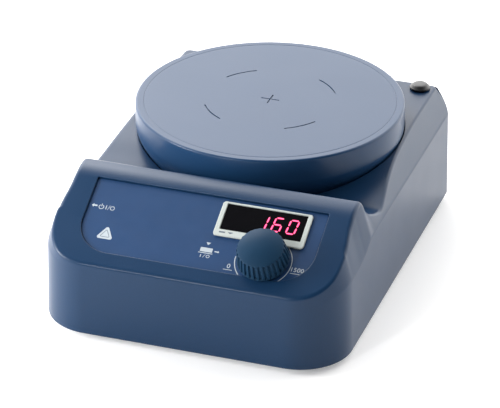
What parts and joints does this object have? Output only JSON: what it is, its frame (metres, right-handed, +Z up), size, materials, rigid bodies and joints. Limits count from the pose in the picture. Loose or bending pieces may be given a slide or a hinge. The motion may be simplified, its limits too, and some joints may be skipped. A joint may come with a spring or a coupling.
{
  "type": "magnetic stirrer",
  "caption": "Compact laboratory magnetic stirrer: sloping console with speed knob and LED read-out, round work plate over a motor-driven magnet pair, blue satin housing.",
  "frame": {"origin": "on the bench, under the middle of the housing's plan outline", "axes": "+Z up, -Y towards the user (console side), +X to the user's right"},
  "size_m": [0.15, 0.196, 0.073],
  "materials": {
    "housing_paint": "satin blue powder coat on a casting",
    "plate_coat": "satin grey-blue coating",
    "label_film": "satin printed film",
    "knob_plastic": "satin moulded",
    "bezel_plastic": "satin moulded",
    "window_lens": "polished smoked lens",
    "black_plastic": "fine texture",
    "rubber": "matt",
    "steel": "bright zinc plate",
    "sheet_steel": "galvanised sheet",
    "board": "solder-resist green",
    "led_red": "potted module with red segments",
    "cast_aluminium": "as cast",
    "lamination": "varnished laminations",
    "copper": "enamelled wire",
    "magnet": "sintered ferrite",
    "transformer_pot": "potting compound",
    "capacitor_sleeve": "shrink sleeve",
    "brass": "stamped"
  },
  "bodies": {
    "chassis": {"upper_housing": "housing_paint", "base_plate": "sheet_steel", "motor_bracket": "sheet_steel", "foot_front_left": "rubber", "foot_front_right": "rubber", "foot_rear_left": "rubber", "foot_rear_right": "rubber", "plate_gasket": "rubber", "foot_screw_front_left": "steel", "foot_screw_front_right": "steel", "foot_screw_rear_left": "steel", "foot_screw_rear_right": "steel", "plate_screw_1": "steel", "plate_screw_2": "steel", "plate_screw_3": "steel", "speed_pot_nut": "steel", "display_board_screw_1": "steel", "display_board_screw_2": "steel", "main_board_screw_1": "steel", "main_board_screw_2": "steel", "motor_bracket_screw_1": "steel", "motor_bracket_screw_2": "steel", "motor_bracket_screw_3": "steel", "motor_bracket_screw_4": "steel", "motor_flange_screw_1": "steel", "motor_flange_screw_2": "steel", "motor_flange_screw_3": "steel", "bearing_lower": "steel", "bearing_upper": "steel", "work_plate": "plate_coat", "control_label": "label_film", "display_bezel": "bezel_plastic", "display_window": "window_lens", "speed_pot_body": "black_plastic", "power_inlet": "black_plastic", "switch_body": "black_plastic", "display_board": "board", "main_board": "board", "motor_board": "board", "led_display": "led_red", "motor_flange": "cast_aluminium", "stator_core": "lamination", "stator_winding": "copper", "transformer": "transformer_pot", "filter_capacitor": "capacitor_sleeve", "inlet_pin_line": "brass", "inlet_pin_earth": "brass", "inlet_pin_neutral": "brass"},
    "rotor": {"rotor_cup": "steel", "ring_magnet": "magnet", "motor_shaft": "steel", "magnet_carrier": "black_plastic", "stir_magnet_a": "magnet", "stir_magnet_b": "magnet"},
    "push_switch": {"push_switch_plunger": "black_plastic"},
    "knob": {"speed_pot_shaft": "steel", "knob": "knob_plastic"},
    "rocker": {"switch_rocker": "black_plastic"},
    "rod_plug": {"rod_hole_plug": "rubber"}
  },
  "joints": [
    {"name": "stirrer_spin", "type": "hinge", "parent": "chassis", "child": "rotor", "pos_m": [0, 0.0317, 0.045], "axis": [0, 0, 1], "continuous": true},
    {"name": "knob_push", "type": "slide", "parent": "chassis", "child": "push_switch", "axis": [0, 0.4664, -0.8846], "range_m": [0, 0.0005], "stiffness_N_per_m": 4000},
    {"name": "knob_turn", "type": "hinge", "parent": "push_switch", "child": "knob", "pos_m": [0.0341, -0.08422, 0.05487], "axis": [0, -0.4664, 0.8846], "range_deg": [-241, 29]},
    {"name": "power_rocker", "type": "hinge", "parent": "chassis", "child": "rocker", "pos_m": [-0.0701, -0.06, 0.0225], "axis": [0, 0, 1], "range_deg": [-14, 0]},
    {"name": "rod_plug_pull", "type": "slide", "parent": "chassis", "child": "rod_plug", "axis": [0, 0, 1], "range_m": [0, 0.012]}
  ]
}
